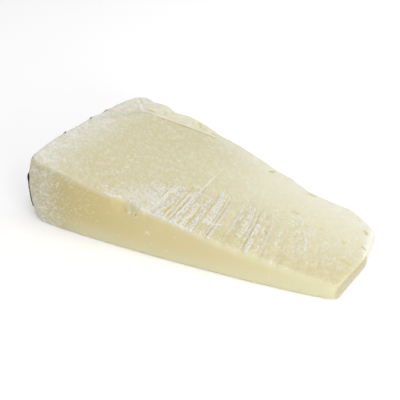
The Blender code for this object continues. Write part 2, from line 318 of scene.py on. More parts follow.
# Whitish smear: the points that it runs through, its half width, and how white it is.
SMEARS = (
    (((49.8, 15.6), (56, 14.4), (64, 12.4)), 0.55, 1), (((51, 18.4), (57, 16.6)), 0.4, 0.6),
    (((50, 12.2), (60, 11.2)), 0.4, 0.6),
    (((80.2, 16.4), (82, 17.6), (84.4, 17.6), (87.2, 19.4)), 0.6, 1),
    (((61, 29.8), (63, 31)), 0.7, 0.7), (((66.2, 34.2), (67, 35.8)), 0.7, 0.6),
    (((103.6, 45.5), (105.5, 48), (109, 48.8), (112.4, 48.2)), 0.4, 0.35),
    (((112.6, 47.8), (114.2, 46.4), (115.2, 42.6)), 0.5, 0.65),
    (((44.6, 48.6), (49.2, 47), (50.6, 45)), 0.6, 0.45),
    (((71.4, 50), (73, 49), (77, 49.2)), 0.4, 0.4),
    (((85.5, 53.6), (88, 51), (88, 46)), 0.5, 0.4),
    (((44.8, 33), (46.2, 35.4), (47.4, 39.6)), 0.5, 0.35), (((34, 24.6), (35.6, 25.4)), 0.5, 0.9),
    (((40.3, 5.4), (40.2, 9), (40.5, 14.6)), 0.3, 0.6), (((36, 5), (36.4, 8.4)), 0.5, 0.6),
    (((119.8, 37), (121.4, 33.6), (122.6, 29)), 0.5, 0.75), (((91.4, 69.2), (92, 68.8)), 0.45, 1),
    (((123.5, 62.6), (129, 65.6), (134, 68.4)), 0.5, 0.55), (((129.6, 56.8), (131.4, 57.6)), 0.7, 0.5),
    (((120.4, 60.6), (122, 60.2)), 0.6, 0.5), (((126.6, 37.4), (128.6, 42)), 0.5, 0.45),
    (((40.2, 82), (39.6, 78.6)), 0.4, 0.6), (((15.6, 72.9), (17.6, 73.1)), 0.6, 0.9),
    (((26.2, 70.2), (26.8, 68.6)), 0.6, 0.5), (((38, 65.6), (39.8, 65)), 0.7, 0.6),
)
# Soft white patch on the front cut: x, height, half width, and how white it is.
WALL_PATCHES = (
    (60, 12, 2, 0.36), (57.5, 11, 1.4, 0.26), (49, 15, 1.1, 0.32), (41, 17.4, 1, 0.32),
    (39, 16.4, 0.8, 0.26), (31, 21, 1.1, 0.28), (69, 5.2, 0.9, 0.34), (95.5, 5.8, 1.3, 0.24),
    (75, 12.4, 1, 0.24), (26, 7.4, 0.9, 0.3), (54, 18.6, 0.8, 0.6), (50.4, 19.6, 1, 0.55),
)
WALL_PITS = ((48.4, 19.9), (53.6, 19.6))    # two yellow pits under the chipped lip: x, height
# Slit or eye in the top: x, y, length, width, angle, depth, and how yellow it is.
SLITS = (
    (86.6, 71.2, 3, 1.5, 50, 0.6, 1), (109.2, 67.4, 4.2, 1.2, 0, 0.3, 0.75),
    (108.6, 50.2, 4.4, 1.8, 5, 0.22, 0.5), (104.4, 28.7, 2.6, 0.9, -45, 0.3, 1),
    (139.2, 34.8, 6.4, 2.2, -3, 0.1, 0.5), (24.9, 72.1, 2.4, 1.2, -22, 0.4, 0.9),
    (16.2, 74.6, 4.4, 1.3, 22, 0.3, 1), (7.2, 1, 4.6, 1.8, -4, 0.25, 0.35),
    (17, 1.1, 1.4, 1.1, 0, 0.25, 0.4), (139.4, 59.6, 3.4, 1.4, -35, 0.06, 0.9),
    (142.6, 48.8, 3, 1.2, -15, 0.06, 0.9), (133.6, 26.4, 6.4, 1, 0, 0.1, 0.35),
    (64.6, 12.2, 5.4, 1.6, 85, 0.2, 0.4), (113.4, 41, 3.6, 0.5, 85, 0.2, 0.45),
    (66.9, 12.6, 7, 1.1, 88, 0.15, 0.35), (75.8, 13.4, 9, 1, 88, 0.15, 0.35),
    (82, 13.6, 4.6, 3.2, 80, 0.1, 0.25), (69, 8.8, 5, 1.1, 86, 0.12, 0.3),
    (130.4, 22, 9, 3, 60, 0.06, 0.18), (66.6, 7.6, 2, 0.6, 8, 0.2, 0.5),
    (92, 14.6, 9, 5, 35, 0.04, 0.3), (117.6, 16.6, 6, 1.4, 84, 0.04, 0.3),
    (40.8, 82, 4.6, 1.2, -52, 0.25, 0.65), (44, 80.8, 2.2, 1.4, 0, 0.15, 0.5),
    (50, 80, 3.4, 1.3, -10, 0.15, 0.6), (37.4, 80.8, 2.2, 1.3, -60, 0.12, 0.4),
    (22.6, 78.6, 3.4, 1.4, -65, 0.15, 0.55), (6, 79.6, 2, 1.2, -50, 0.15, 0.6),
    (13.2, 65, 2.4, 1, 50, 0.1, 0.45), (11.8, 62, 1.6, 1, 60, 0.1, 0.45),
    (134, 46.4, 2, 1.2, 0, 0.05, 0.5), (122.6, 47.8, 1.8, 1.6, 60, 0.05, 0.45),
)
RIDGE = ((3.6, 81.2), (9, 75.8), (13.6, 71.2))      # white ridge across the back corner
SEAM = ((5, 51), (9.5, 60.5), (14.2, 69.6))         # fainter line from its end towards the rind
# Edge of the torn strip along the back.
STEP = ((13.6, 71.2), (17, 72.2), (22, 72.6), (24.9, 73), (30, 74.2), (38.8, 75.6), (47, 76.6), (54, 77.2))
SCORE_X, SCORE_END = 68.45, 62          # where the long white score fades out
SCORE_LEAN, SCORE_LENGTH = 1.45, 55.5   # how far it leans away by the lip, and its length
BEND, SPREAD = 0.0844, 0.0024           # how far the grooves lean to the rind, and how fast that grows
TURN = (110, 37)                        # where the knife turned and raised a patch with curved marks
CHIP, LIP_BEFORE = 51.5, 43             # x of the chip in the front edge, and of the lip beside it
FOOT = 0.3                              # height below which the foot keeps its shape
RIND_END = 20                           # x that no part of the rind reaches
# Coating left on the rind's top edge: y, half width and share.
LEFT_ON_EDGE = ((5, 1.6, 1), (28, 2, 1), (37, 1.2, 1), (47, 1.8, 1), (60, 6, 0.6))


def groove_foot(p):
    """Where the groove through a place would meet the front, as a place along x."""
    sweep = p.y - 10 + 0.1 * max(p.y - 32, 0) ** 2
    return (p.x - BEND * sweep) / (1 - SPREAD * sweep)


def between_grooves(foot):
    """Number of the groove before a place, how far it is to the next one as a share, and that gap."""
    feet = [groove[0] for groove in GROOVES]
    if foot <= feet[0]:
        return 0, (foot - feet[0]) / 2, 2
    for number, (low, high) in enumerate(zip(feet, feet[1:])):
        if foot < high:
            return number, (foot - low) / (high - low), high - low
    return len(feet) - 1, (foot - feet[-1]) / 4, 4


def window(start, end, soft, value):
    """1 inside a range and 0 outside it, with soft ends."""
    return rise(start - soft, start + soft, value) * (1 - rise(end - soft, end + soft, value))


def grooves(p):
    """The fan of grooves at a place: a running number, the gap there, depth share and nearness to a line."""
    foot = groove_foot(p)
    number, share, gap = between_grooves(foot)
    nearest = min(max(number + round(share), 0), len(GROOVES) - 1)
    at, start, end, depth = GROOVES[nearest]
    ragged = 1.6 * grain(at, 4)
    depth *= window(start, end + ragged, 1.6, p.y) * (0.78 + 0.44 * grain(at * 3.1, p.y / 2.6, 6))
    line = math.exp(-((foot - at) / 0.42) ** 2)
    return number + share, gap, depth, line


def band_white(p):
    """How white the torn paste between the grooves is, and how much of it is stitched rungs."""
    foot = groove_foot(p)
    best = rungs = 0
    if 50 < foot < 128 and p.y < 46:
        for first, last, start, end, white in BANDS:
            if first - 1 < foot < last + 1:
                ragged = 2.5 * grain(foot / 1.2, first)
                here = white * window(first, last, 0.3, foot) * rise(start - 1.5, start + 1.5, p.y)
                here *= 1 - rise(end - 5, end + 3, p.y + ragged)
                if here > best:
                    best, rungs = here, here * (last - first < 2)
    return best, rungs


def line_distance(p, points, wander=0):
    """Distance from a place to a broken line."""
    across, over = (wander * grain(p.x / 2, p.y / 2, layer) for layer in (1, 9))
    spot = Vector((p.x + across, p.y + over))
    nearest = 99
    for start, end in zip(points, points[1:]):
        a, b = Vector(start), Vector(end)
        share = min(max((spot - a).dot(b - a) / (b - a).length_squared, 0), 1)
        nearest = min(nearest, (spot - a.lerp(b, share)).length)
    return nearest


def smears(p):
    """How strongly the single smears whiten a place."""
    best = 0
    for points, half_width, white in SMEARS:
        if abs(p.x - points[0][0]) < 14 and abs(p.y - points[0][1]) < 14:
            away = line_distance(p, points, 0.5) / half_width
            if away < 3:
                best = max(best, white * math.exp(-away * away))
    return best


def seams(p):
    """Whiteness of the ridges, darkness of the creases (partly painted shadow below the step), and how far a
    place lies on the torn back strip.
    """
    if p.x > 64 or p.y < 46:
        return 0, 0, 0
    to_step = line_distance(p, STEP, 0.3)
    beyond = p.y - step_y(p.x)
    fade = 1 - rise(48, 56, p.x)
    ridge = max(math.exp(-(line_distance(p, RIDGE, 0.5) / 0.48) ** 2),
                0.8 * fade * math.exp(-((beyond - 0.3) / 0.5) ** 2) * rise(12, 15, p.x))
    # Crease: partly a darker line of its own, and partly painted shadow at the foot of the raised strip's
    # step.
    crease = max(fade * rise(24, 32, p.x) * math.exp(-((beyond + 0.7) / 0.7) ** 2),
                 0.35 * math.exp(-(line_distance(p, SEAM, 0.5) / 0.45) ** 2))
    strip = rise(-0.3, 0.8, beyond) * rise(9, 17, p.x) * (1 - rise(52, 62, p.x))
    return ridge if to_step < 14 else 0, crease, strip


def step_y(x):
    """Where the edge of the torn strip runs at a distance from the rind."""
    for (low, start), (high, end) in zip(STEP, STEP[1:]):
        if x <= high:
            return start + (end - start) * max((x - low) / (high - low), 0)
    return STEP[-1][1]


def scuff(p, from_front):
    """How far the whitish scuffed patch beside the grooves covers a place, 0 to 1."""
    ragged = 5 * grain(p.x / 6, p.y / 6, 3)
    reach = 24 * rise(34, 58, p.x) + ragged
    here = rise(-4, 5, reach - from_front) * rise(-1.2, -0.2, from_front)
    return here * rise(34, 46, p.x) * (1 - rise(56, 62, p.x))


def slits(p):
    """Depth and yellowness of the small eyes and slits at a place."""
    depth = yellow = 0
    for x, y, length, width, angle, deep, tint in SLITS:
        off = Vector((p.x - x, p.y - y))
        if off.length < length:
            turn = math.radians(angle)
            along = off.x * math.cos(turn) + off.y * math.sin(turn)
            aside = off.y * math.cos(turn) - off.x * math.sin(turn) + 0.3 * grain(along, x)
            inside = math.exp(-(2 * along / length) ** 4 - (2 * aside / width) ** 2)
            depth = max(depth, deep * inside)
            yellow = max(yellow, tint * inside)
    return depth, yellow


def lip(p, from_front):
    """The ragged crumbly lip along the front edge, 0 to 1."""
    reach = 1.1 + 1.2 * grain(p.x / 2.4, 5) + 0.7 * grain(p.x / 0.9, 8)
    reach_out = rise(-1.2, -0.4, from_front) * (1 - rise(0.2, max(reach, 0.4), from_front))
    return window(39, 80, 2.5, p.x) * reach_out


def top_finish(p, margins):
    """Height in millimetres, and the marks that colour the top cut at a place."""
    from_front, from_back, from_rind, from_tip, below_lip = margins
    paste = bpy.context.scene.cheese_paste
    depth, crumble = paste.groove_depth * MM, paste.crumble * MM

    fan, gap, groove, line = grooves(p)
    torn, rungs = band_white(p)
    smear = smears(p)
    patch = scuff(p, from_front)
    on_top = 1 - rise(0.8, 1.8, below_lip)
    ragged, patch = lip(p, from_front) * on_top, patch * on_top
    ridge, crease, strip = seams(p)
    pit_depth, yellow = slits(p)
    clots = rise(-0.1, 0.5, grain(p.x / 1.7, p.y / 1.4, 21))
    strokes = grain((0.77 * p.x - 0.64 * p.y) / 9, (0.64 * p.x + 0.77 * p.y) / 4.5, 31)

    height = -depth * groove * line + 0.06 * smear + 0.1 * strokes
    crags = ragged * (0.4 + grain(p.x / 1.5, p.y / 1.5))
    height += crumble * (0.35 * torn * clots + 0.3 * patch * clots + crags)
    height += 0.16 * ridge - 0.14 * crease - pit_depth
    height += max(strip, 1 - rise(2, 7, from_back)) * 0.3 * noise.fractal(p / 5, 1, 2, 2)
    height += 0.07 * (1 - rise(1, 12, from_rind)) * grain(p.x / 4.4, p.y / 4.4, 51)
    frost = (1 - rise(0.3, 3.2, from_tip + 1.6 * grain(p.y / 2, 3))) * rise(36, 54, p.y)
    return height, dict(fan=fan, gap=gap, groove=groove, torn=torn, rungs=rungs, smear=smear, scuff=patch,
                        lip=ragged, yellow=yellow, frost=frost, ridge=ridge, crease=crease, strip=strip,
                        tipward=min(from_back, 0.75 * from_tip + 1.5))


def wall_finish(p, normal):
    """Height in millimetres, and the marks that colour a wall at a place."""
    on_front = normal.y < FACING_FRONT
    height = (0.05 if on_front else 0.16) * noise.fractal(p / 4.5, 0.8, 2, 2)
    smear = yellow = 0
    if on_front:
        off = 0.35 * grain(p.x / 0.9, p.z / 0.9, 61)
        for x, z, half_width, white in WALL_PATCHES:
            away = math.hypot(p.x - x, 1.3 * (p.z - z)) / half_width + off
            smear = max(smear, white * (1 - rise(0.5, 1.2, away)))
        for x, z in WALL_PITS:
            yellow = max(yellow, 1 - rise(0.3, 0.7, math.hypot(p.x - x, p.z - z)))
        height -= 0.25 * yellow
    frost = rise(0.4, 0.7, normal.x) * rise(41, 50, p.y)
    return height, dict(smear=smear, yellow=yellow, frost=frost, tipward=20)


SIDE_MARKS = ("smear", "yellow", "frost", "tipward")
TOP_MARKS = ("groove", "torn", "rungs", "scuff", "lip", "ridge", "crease", "strip")
MARKS = (*SIDE_MARKS, *TOP_MARKS, "foot", "fan", "gap", "topside", "rindside", "tipside", "from_rind",
         "from_front", "from_back", "below_lip")


def finish_surface(mesh):
    """Gives the body its fine relief, and stores the marks that the material reads."""
    rim = Rim(mesh)
    layers = {name: mesh.verts.layers.float.new(name) for name in MARKS}
    moves = []
    for vertex in mesh.verts:
        p = (vertex.co - CORNER) * MM
        upward = rise(0.68, 0.94, vertex.normal.z)
        margins = rim.margins(p)
        height, marks = wall_finish(p, vertex.normal)
        if upward > 0:
            top_height, top_marks = top_finish(p, margins)
            height += (top_height - height) * upward
            for name in SIDE_MARKS:
                top_marks[name] = marks[name] + (top_marks[name] - marks[name]) * upward
            for name in TOP_MARKS:
                top_marks[name] *= upward
            marks = top_marks
        # Painted light: below_lip is shortened at the chip, so the painted light band under the edge reaches
        # down its shaded recess, and lengthened beside it, where the lip's facet already catches more light.
        painted_light_scale = 1 - 0.65 * hump(CHIP, 5.5, p.x) + 0.6 * hump(LIP_BEFORE, 4, p.x)
        # Share of painted shade on the tip's end face, fading towards the back, where that face turns away.
        shaded = 1 - 0.7 * rise(40, 50, p.y)
        from_front, from_back, from_rind, _, below_lip = margins
        marks.update(foot=groove_foot(p), topside=upward, from_rind=max(from_rind, 0),
                     from_front=from_front, from_back=from_back, below_lip=below_lip * painted_light_scale,
                     rindside=rise(0.45, 0.75, -vertex.normal.x) * (1 - upward) * (p.x < RIND_END),
                     tipside=rise(0.45, 0.75, vertex.normal.x) * (1 - upward) * shaded)
        for name, layer in layers.items():
            vertex[layer] = marks.get(name, 0)
        moves.append(vertex.normal * (height / MM) if p.z > FOOT else Vector())
    for vertex, move in zip(mesh.verts, moves):
        vertex.co += move


# ---- Shader maths ----

class Value:
    """A shader socket that takes part in Python expressions."""

    def __init__(self, graph, socket):
        self.graph, self.socket = graph, socket

    def maths(self, operation, first, second=0):
        """What a maths node makes of one or two values."""
        return self.graph.node("ShaderNodeMath", {"operation": operation}, {0: first, 1: second})

    def __add__(self, other):
        return self.maths("ADD", self, other)

    def __mul__(self, other):
        return self.maths("MULTIPLY", self, other)

    def __sub__(self, other):
        return self.maths("SUBTRACT", self, other)

    def __rsub__(self, other):
        return self.maths("SUBTRACT", other, self)

    __radd__, __rmul__ = __add__, __mul__

    def __abs__(self):
        return self.maths("ABSOLUTE", self)

    def most(self, other):
        """The greater of two values."""
        return self.maths("MAXIMUM", self, other)

    def ramp(self, low, high):
        """0 at low and 1 at high, with an even S between them; high may be the smaller."""
        limits = {"Value": self, "From Min": low, "From Max": high}
        return self.graph.node("ShaderNodeMapRange", {"interpolation_type": "SMOOTHSTEP"}, limits)

    def range(self, start, end, soft):
        """1 inside a range, with soft ends."""
        return self.ramp(start - soft, start + soft) * self.ramp(end + soft, end - soft)


class Graph:
    """A material's node tree."""

    def __init__(self, name):
        self.material = bpy.data.materials.new(name)
        self.material.use_nodes = True
        self.tree = self.material.node_tree
        self.shader = self.tree.nodes["Principled BSDF"]

    def node(self, kind, settings=None, inputs=None, output=0):
        """Adds a node: its settings first, then the values or links of its sockets."""
        node = self.tree.nodes.new(kind)
        for name, value in (settings or {}).items():
            setattr(node, name, value)
        for key, value in (inputs or {}).items():
            self.feed(node.inputs[key], value)
        return Value(self, node.outputs[output])

    def feed(self, socket, value):
        """Links a value to a socket, or sets it."""
        if isinstance(value, Value):
            self.tree.links.new(value.socket, socket)
        else:
            socket.default_value = value

    def mark(self, name):
        """One of the marks that the body's vertices hold."""
        return self.node("ShaderNodeAttribute", {"attribute_name": name}, output="Fac")

    def marks(self, names):
        """Several of those marks."""
        return (self.mark(name) for name in names.split())

    def place(self, size=1, turn=(0, 0, 0)):
        """Object coordinates in units of size, in millimetres, along axes turned by degrees."""
        size = size if isinstance(size, tuple) else (size, size, size)
        return self.node("ShaderNodeMapping", {"vector_type": "TEXTURE"}, {
            "Vector": self.node("ShaderNodeTexCoord", output="Object"), "Location": tuple(CORNER),
            "Rotation": tuple(math.radians(angle) for angle in turn),
            "Scale": tuple(part / MM for part in size)})

    def along(self, axis):
        """Millimetres along an axis from the foot of the rind's front corner."""
        return self.node("ShaderNodeSeparateXYZ", {}, {"Vector": self.place()}, output=axis)

    def vector(self, x, y, z):
        """Three values as one vector."""
        return self.node("ShaderNodeCombineXYZ", {}, {"X": x, "Y": y, "Z": z})

    def noise(self, size, turn=(0, 0, 0), detail=2, roughness=0.5, twist=0, where=None):
        """Noise between 0 and 1 with features of about size millimetres."""
        return self.node("ShaderNodeTexNoise", {"noise_dimensions": "3D"}, {
            "Vector": where or self.place(size, turn), "Scale": 1,
            "Detail": detail, "Roughness": roughness, "Distortion": twist})

    def noise_at(self, x, y, z, detail=2, roughness=0.5):
        """Noise between 0 and 1 that follows three values."""
        return self.noise(1, detail=detail, roughness=roughness, where=self.vector(x, y, z))

    def cells(self, where, output="Distance", dimensions="3D", randomness=1):
        """How far the middle of the nearest cell is, or that cell's own random colour."""
        return self.node("ShaderNodeTexVoronoi", {"voronoi_dimensions": dimensions}, {
            "Vector": where, "Scale": 1, "Randomness": randomness}, output)

    def mix(self, factor, first, second):
        """The first colour where the factor is 0, and the second where it is 1."""
        first, second = (c if isinstance(c, Value) else (*c, 1) for c in (first, second))
        return self.node("ShaderNodeMix", {"data_type": "RGBA"}, {0: factor, 6: first, 7: second}, output=2)

    def cover(self, colour, *coats):
        """A colour with coats over it, from the lowest up: how far each one covers, and its colour."""
        for factor, coat in coats:
            colour = self.mix(factor, colour, coat)
        return colour

    def bump(self, height, strength, distance):
        """The normal of a surface with a height."""
        sockets = {"Height": height, "Strength": strength, "Distance": distance}
        return self.node("ShaderNodeBump", {}, sockets)

    def finish(self, **sockets):
        """Feeds the shader's sockets, and gives the material."""
        for name, value in sockets.items():
            self.feed(self.shader.inputs[name.replace("_", " ")], value)
        return self.material


# ---- Materials ----

def knife_pattern(graph):
    """Crisp groove lines, and the stitched white paste torn up between them."""
    foot, fan, gap, groove, band, rungs = graph.marks("foot fan gap groove torn rungs")
    back = graph.along("Y")
    aside = abs(fan - fan.maths("ROUND", fan)) * gap
    shake = graph.noise_at(foot * 0.5, back * 0.55, 3)
    gaps = graph.noise_at(foot * 0.4, back * 0.3, 13, detail=1)
    line = (groove * 0.28 + 0.05 + (shake - 0.5) * 0.7 - aside).ramp(-0.02, 0.1) * groove.ramp(0.05, 0.5)
    line = line * gaps.ramp(0.38, 0.48)

    # The torn paste is clods about a millimetre across, in loose rows, with some of them missing.
    rows = graph.vector(foot * 0.84, (back + (shake - 0.5) * 0.8) * 0.66, 0)
    middle, chance = (graph.cells(rows, output, "2D", 0.65) for output in ("Distance", "Color"))
    patches = graph.noise_at(foot * 0.3, back * 0.2, 27, roughness=0.6)
    there = (band - chance * 0.95 + (patches - 0.5) * 1.1 + 0.12).ramp(-0.06, 0.2)
    splits = graph.noise_at(foot * 0.95, back * 0.09, 7, detail=0)
    clods = there * middle.ramp(0.64, 0.42) * (1 - abs(splits - 0.5).ramp(0.07, 0.02) * 0.8)
    phase = back * 4.6 + (shake - 0.5) * 6
    ladder = phase.maths("SINE", phase).ramp(-0.5, 0.2) * (patches + band * 0.3).ramp(0.45, 0.6)
    rungs = rungs.ramp(0.1, 0.3)
    torn = band.ramp(0, 0.2) * (clods * (1 - rungs) + ladder * rungs)
    return line, torn * (1 - line)


def long_score(graph):
    """The one long white score, which leans away by the lip and fades at its far end."""
    along, back = graph.along("X"), graph.along("Y")
    left = ((SCORE_END - back) * (1 / SCORE_LENGTH)).most(0)
    aside = abs(along - left.maths("POWER", left, 1.6) * SCORE_LEAN - SCORE_X)
    return aside.ramp(0.44, 0.12) * back.ramp(66, 30) * graph.mark("topside")


def broad_colour(graph, look, cloud, mottle):
    """Paste before its marks: cream on the top, golden on the front, greyish behind the rind, with painted
    light and shade.
    """
    topside, tipside, from_rind = graph.marks("topside tipside from_rind")
    from_front, from_back, below_lip = graph.marks("from_front from_back below_lip")
    along, back, up = (graph.along(axis) for axis in "XYZ")
    dryness = (from_rind + (mottle - 0.5) * 9 + (cloud - 0.5) * 10).ramp(22, 0)
    near_corner = (from_rind + (mottle - 0.5) * 8 + (cloud - 0.5) * 10).ramp(16, 0)
    # Painted light: paler paste towards the foot, where light bounces up from the floor, and in a band under
    # the front edge, where light catches its rounding.
    pale = (up.ramp(10, 0.5) * 0.75).most(below_lip.ramp(3.2, 0.2) * 0.8) * along.ramp(190, 90)
    side = graph.cover(
        # The front cut's base is the side paste, a painted shade of the top's paste.
        look.side,
        # Painted shade: the upper part of the front cut near the rind, under the lip, drawn darker in groove
        # yellow.
        (along.ramp(60, 30) * up.ramp(4, 14) * 0.38, look.groove),
        (along.ramp(55, 115) * 0.52, look.paste),
        (pale, look.edge),
        (along.ramp(95, 140) * 0.6, look.thin),
        # Painted shade on the tip's end face, greyed a little with dry paste; the same colour darkens the
        # front cut towards the rind end.
        ((tipside * 0.9).most(along.ramp(30, 5) * 0.5), look.shade),
        (tipside * 0.22, look.dry),
        (near_corner * 0.3, look.dry))
    top = graph.cover(
        look.paste,
        (mottle.ramp(0.4, 0.7) * 0.14, look.crumb),
        (from_front.ramp(14, 4) * along.ramp(84, 96) * 0.18, look.pit),
        (along.ramp(100, 125) * back.ramp(52, 30) * 0.1, look.side),
        # Painted highlight: paler paste along the rounded front edge towards the tip, where light catches
        # it.
        (from_front.ramp(3, 0.4) * along.ramp(76, 96) * 0.55, look.edge),
        # Painted light: the top drawn brighter towards the back and the tip, where the light from behind
        # falls most.
        (along.ramp(42, 100) * back.ramp(24, 66) * 0.85, look.cream),
        (from_back.ramp(13, 2) * along.ramp(20, 60) * 0.35, look.crumb),
        (graph.mark("strip") * 0.85, look.cream),
        (dryness * 0.78, look.dry))
    return graph.mix(topside, side, top), dryness, near_corner


def flecked_colour(graph, look, colour, mottle, fine, dryness, near_corner):
    """Adds the haze of fine slanting strokes on the top, and curls and crystals near the rind."""
    topside = graph.mark("topside")
    along, back = graph.along("X"), graph.along("Y")
    grit = mottle * 0.5 + fine * 0.5
    strokes = graph.noise((3, 0.75, 1.6), (0, 0, -40), roughness=0.55, twist=0.3)
    fibres = graph.noise((1.6, 0.42, 0.9), (0, 0, -40), detail=1, twist=0.2)
    calm = (1 - graph.mark("torn").ramp(0, 0.3)) * along.ramp(114, 96)
    haze = (strokes * 0.5 + fibres * 0.3 + mottle * 0.2).ramp(0.5, 0.6) * calm
    haze = haze.most((mottle * 0.3 + fine * 0.7).ramp(0.47, 0.6) * (1 - calm) * 0.9)
    haze = haze.most(dryness * grit.ramp(0.5, 0.58)) * topside
    near_front = graph.mark("from_front").ramp(22, 6) * along.range(28, 56, 6)
    moist = grit.ramp(0.49, 0.41) * topside

    blotches = graph.noise(3.2, detail=3, roughness=0.6, twist=0.6).ramp(0.46, 0.64) * near_corner * 0.5
    curls = graph.noise((2, 1.4, 0.7), (0, -38, 0), roughness=0.6, twist=0.8)
    curled = (curls + near_corner * 0.05).ramp(0.56, 0.66) * along.ramp(50, 4) * 0.6
    curled = curled.most(blotches) * (1 - topside)
    sparse = graph.noise(7, detail=1).ramp(0.46, 0.6)
    crystals = (graph.cells(graph.place(3.6)) + (fine - 0.5) * 0.12).ramp(0.17, 0.05)
    crystals = crystals * sparse * (topside * 0.3 + 0.4)
    specks = (graph.cells(graph.place(1.9)) + (fine - 0.5) * 0.14).ramp(0.26, 0.1)
    specks = specks * along.range(100, 143, 6) * back.ramp(20, 36) * (sparse * 0.6 + 0.3) * topside
    colour = graph.cover(
        colour,
        (haze * (dryness * 0.46 + along.ramp(150, 60) * 0.1 + 0.24), look.crumb),
        (moist * (dryness * 0.14 + near_front * 0.26 + 0.04), look.groove),
        (curled.most(crystals).most(specks), look.crumb))
    return colour, (strokes * 0.6 + fibres * 0.4) * calm + mottle * (1 - calm)


def curved_marks(graph):
    """Fine lighter and darker strands: curved where the knife turned, and bent round the tip."""
    along, back = graph.along("X"), graph.along("Y")
    across, over = (along - TURN[0]) * 0.9, back - TURN[1]
    radius = across.maths("POWER", across * across + over * over, 0.5)
    angle = over.maths("ARCTAN2", over, across)
    tipward = graph.mark("tipward")
    arcs = graph.noise_at(radius * 0.85, angle * 1.6, 3) - 0.5
    arcs = arcs * radius.range(3, 12.5, 1.5) * back.ramp(28, 38) * 2
    strands = graph.noise_at(tipward * 1.1, (along - back) * 0.1, 9, detail=3, roughness=0.65) - 0.5
    strands = strands * tipward.ramp(15, 8) * along.ramp(104, 128) * back.ramp(34, 46) * 1.4
    crumbly = graph.noise(1.5, roughness=0.65) - 0.5
    crumbly = crumbly * along.ramp(112, 124) * back.ramp(30, 42) * 0.9
    comb = graph.noise_at(graph.mark("foot") * 0.9, back * 0.1, 21) - 0.5
    comb = comb * along.range(92, 142, 6) * back.ramp(44, 34) * 1.5
    return (arcs + strands + crumbly + comb) * graph.mark("topside")


def paste_material():
    """Paste of the cheese: mottled cream, greyer by the rind, whiter on torn crumbs, ochre in pits."""
    look = bpy.context.scene.cheese_paste
    graph = Graph("cheese_paste")
    cloud = graph.noise(16)
    mottle = graph.noise(2.6, detail=3, roughness=0.6, twist=0.4)
    fine = graph.noise(0.7, roughness=0.6)
    colour, dryness, near_corner = broad_colour(graph, look, cloud, mottle)
    colour, slant = flecked_colour(graph, look, colour, mottle, fine, dryness, near_corner)
    strands = curved_marks(graph)
    line, torn = knife_pattern(graph)
    score = long_score(graph)

    across = graph.noise((2.2, 0.5, 1.2), (0, 0, -8), detail=1, twist=0.1)
    lengthwise = graph.noise((0.5, 2.2, 1.2), (0, 0, 6), detail=1, twist=0.1)
    scuffed = across.ramp(0.51, 0.58).most(lengthwise.ramp(0.53, 0.6)) * graph.mark("scuff").ramp(0.05, 0.7)
    ragged = (fine * 0.55 + mottle * 0.45 - 0.5) * 2
    ledge, smear, frost = (
        (graph.mark(name) + ragged).ramp(0.2, 0.5) * graph.mark(name).ramp(0, 0.15)
        for name in ("lip", "smear", "frost"))
    white = torn.most(scuffed * 0.68).most(smear * 0.8).most(ledge * 0.68).most(score)
    bright = (score * 0.6).most(frost * 0.6).most(graph.mark("ridge").ramp(0.1, 0.8) * 0.9)
    bark = graph.mix(mottle.ramp(0.35, 0.65), look.rind, [part * 0.7 for part in look.rind])
    colour = graph.cover(
        colour,
        (strands.ramp(0.06, 0.55) * 0.75, look.crumb),
        (strands.ramp(-0.06, -0.6) * 0.45, look.groove),
        # Painted shade: the paste about the torn clods drawn darker in groove yellow, for the shade in the
        # cracks between them.
        (graph.mark("torn").ramp(0, 0.3) * 0.2, look.groove),
        (line * 0.7, look.groove),
        # Crease darkening: partly its own darker tint, partly painted shadow below the raised strip's step.
        (graph.mark("crease") * 0.62, look.groove),
        (white, look.torn),
        (bright, look.crumb),
        (graph.mark("yellow"), look.pit),
        (graph.mark("rindside"), bark))

    rough = 0.52 + (fine - 0.5) * 0.2 + white * 0.15 - line * 0.1
    height = fine * 0.35 + slant * graph.mark("topside") * 0.5 + white * 0.35 + torn * 0.8
    height = height - line * 0.1 + strands * 0.3
    return graph.finish(Base_Color=colour, Roughness=rough, Normal=graph.bump(height, 0.4, 0.00022),
                        Subsurface_Weight=0.22, Subsurface_Radius=SCATTER, Subsurface_Scale=0.003,
                        Specular_IOR_Level=0.3)


def coating_material():
    """Charcoal coating: dull, rubbed grey on its high places."""
    look = bpy.context.scene.cheese_coat
    graph = Graph("rind_coating")
    rub = graph.noise(2.5, detail=4, roughness=0.65)
    pores = graph.noise(0.6)
    return graph.finish(Base_Color=graph.mix(rub.ramp(0.5, 0.75) * 0.6, look.colour, look.worn),
                        Roughness=0.45 + pores * 0.25,
                        Normal=graph.bump(rub * 0.7 + pores * 0.3, 0.4, 0.0003))


def crumb_material():
    """Loose crumbs: the palest paste."""
    look = bpy.context.scene.cheese_paste
    graph = Graph("cheese_crumb")
    tone = graph.noise(1.5)
    return graph.finish(Base_Color=graph.mix(tone.ramp(0.3, 0.7) * 0.5, look.crumb, look.paste),
                        Roughness=0.6, Subsurface_Weight=0.2, Subsurface_Radius=SCATTER,
                        Subsurface_Scale=0.002)


# ---- Stage ----

def make_floor(stage):
    """A wide pale floor that the wedge stands on."""
    mesh = bmesh.new()
    bmesh.ops.create_grid(mesh, x_segments=1, y_segments=1, size=FLOOR_HALF)
    material = Graph("floor").finish(
        Base_Color=(*stage.floor, 1.0), Roughness=0.9, Specular_IOR_Level=0.1,
        Emission_Color=WHITE, Emission_Strength=stage.glow)
    floor = add_mesh("floor", mesh, material)


def make_sky(scene, stage):
    """Even white light from all round."""
    world = bpy.data.worlds.new("sky")
    world.use_nodes = True
    background = world.node_tree.nodes["Background"]
    background.inputs["Color"].default_value = WHITE
    background.inputs["Strength"].default_value = stage.sky
    scene.world = world


def turn_back(thing, back):
    """Turns a lamp or camera so that its back faces a direction."""
    thing.rotation_mode = "QUATERNION"
    thing.rotation_quaternion = back.to_track_quat("Z", "Y")


